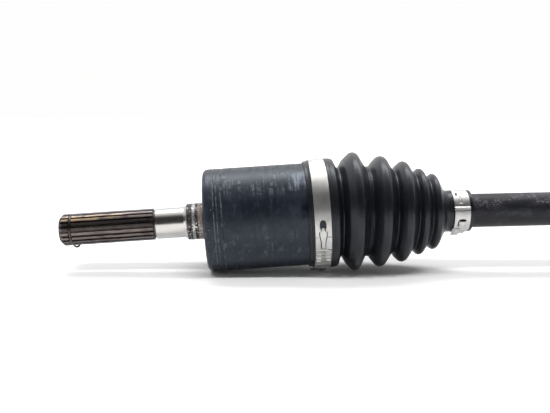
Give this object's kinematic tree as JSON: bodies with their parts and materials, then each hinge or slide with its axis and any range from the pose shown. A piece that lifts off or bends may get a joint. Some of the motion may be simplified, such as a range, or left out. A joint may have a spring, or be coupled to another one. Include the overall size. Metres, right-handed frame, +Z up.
{
  "type": "cv axle",
  "caption": "Drive axle with a plunging constant-velocity joint in a smooth splined cup, a bar, a fixed joint with a threaded stub, and bellows boots on stainless clamps.",
  "frame": {"origin": "middle of the bar, on its axis, halfway between the two joint centres", "axes": "+X along the bar towards the outboard joint, +Z up as the axle lies in the picture, +Y away from the camera"},
  "size_m": [0.6218, 0.0884, 0.0884],
  "materials": {
    "stub_steel": "worn ground steel",
    "cup_paint": "dark blue-grey paint over machined steel, scuffed",
    "bell_paint": "dark blue-grey paint over machined steel",
    "bar_paint": "charcoal satin paint, scuffed",
    "boot_rubber": "satin thermoplastic rubber",
    "clamp_steel": "bright stainless band",
    "bearing_steel": "polished balls",
    "cage_steel": "hardened steel, dark",
    "race_steel": "ground steel",
    "spring_steel": "drawn spring wire"
  },
  "bodies": {
    "axle_bar": {"axle_bar": "bar_paint", "inboard_inner_race": "race_steel", "inboard_race_clip": "spring_steel", "inboard_small_clamp": "clamp_steel", "outboard_inner_race": "race_steel", "outboard_race_clip": "spring_steel", "outboard_small_clamp": "clamp_steel"},
    "inboard_first_ball": {"inboard_ball_1": "bearing_steel"},
    "inboard_cage": {"inboard_cage": "cage_steel", "inboard_ball_2": "bearing_steel", "inboard_ball_3": "bearing_steel", "inboard_ball_4": "bearing_steel", "inboard_ball_6": "bearing_steel", "inboard_ball_7": "bearing_steel", "inboard_ball_8": "bearing_steel"},
    "inboard_opposite_ball": {"inboard_ball_5": "bearing_steel"},
    "inboard_boot": {"inboard_boot": "boot_rubber"},
    "inboard_cup": {"inboard_cup": "cup_paint", "inboard_stub_clip": "spring_steel", "inboard_stop_ring": "spring_steel", "inboard_large_clamp": "clamp_steel"},
    "outboard_first_ball": {"outboard_ball_1": "bearing_steel"},
    "outboard_cage": {"outboard_cage": "cage_steel", "outboard_ball_2": "bearing_steel", "outboard_ball_3": "bearing_steel", "outboard_ball_5": "bearing_steel", "outboard_ball_6": "bearing_steel"},
    "outboard_opposite_ball": {"outboard_ball_4": "bearing_steel"},
    "outboard_bell": {"outboard_bell": "bell_paint", "outboard_boot": "boot_rubber", "outboard_large_clamp": "clamp_steel"}
  },
  "joints": [
    {"name": "inboard_swing_bar_side", "type": "hinge", "parent": "axle_bar", "child": "inboard_first_ball", "pos_m": [-0.175, 0, 0], "axis": [0, 0, 1], "range_deg": [-6.5, 6.5]},
    {"name": "inboard_bend_bar_side", "type": "hinge", "parent": "inboard_first_ball", "child": "inboard_cage", "pos_m": [-0.175, 0, 0], "axis": [0, 1, 0], "range_deg": [-5.25, 7.75]},
    {"name": "inboard_bend_cup_side", "type": "hinge", "parent": "inboard_cage", "child": "inboard_opposite_ball", "pos_m": [-0.175, 0, 0], "axis": [0, 1, 0], "range_deg": [-5.25, 7.75]},
    {"name": "inboard_swing_cup_side", "type": "hinge", "parent": "inboard_opposite_ball", "child": "inboard_boot", "pos_m": [-0.175, 0, 0], "axis": [-0.0436, 0, 0.999], "range_deg": [-6.5, 6.5]},
    {"name": "inboard_plunge", "type": "slide", "parent": "inboard_boot", "child": "inboard_cup", "axis": [0.999, 0, 0.0436], "range_m": [-0.01, 0.012], "deforming": ["inboard_boot"]},
    {"name": "outboard_swing_bar_side", "type": "hinge", "parent": "axle_bar", "child": "outboard_first_ball", "pos_m": [0.175, 0, 0], "axis": [0, 0, 1], "range_deg": [-10, 10]},
    {"name": "outboard_bend_bar_side", "type": "hinge", "parent": "outboard_first_ball", "child": "outboard_cage", "pos_m": [0.175, 0, 0], "axis": [0, 1, 0], "range_deg": [-10, 10]},
    {"name": "outboard_bend_bell_side", "type": "hinge", "parent": "outboard_cage", "child": "outboard_opposite_ball", "pos_m": [0.175, 0, 0], "axis": [0, 1, 0], "range_deg": [-10, 10]},
    {"name": "outboard_swing_bell_side", "type": "hinge", "parent": "outboard_opposite_ball", "child": "outboard_bell", "pos_m": [0.175, 0, 0], "axis": [0, 0, 1], "range_deg": [-10, 10], "deforming": ["outboard_boot"]}
  ],
  "couplings": [
    {"joint": "inboard_bend_cup_side", "follows": "inboard_bend_bar_side", "ratio": 1},
    {"joint": "inboard_swing_cup_side", "follows": "inboard_swing_bar_side", "ratio": 1},
    {"joint": "outboard_bend_bell_side", "follows": "outboard_bend_bar_side", "ratio": 1},
    {"joint": "outboard_swing_bell_side", "follows": "outboard_swing_bar_side", "ratio": 1}
  ]
}
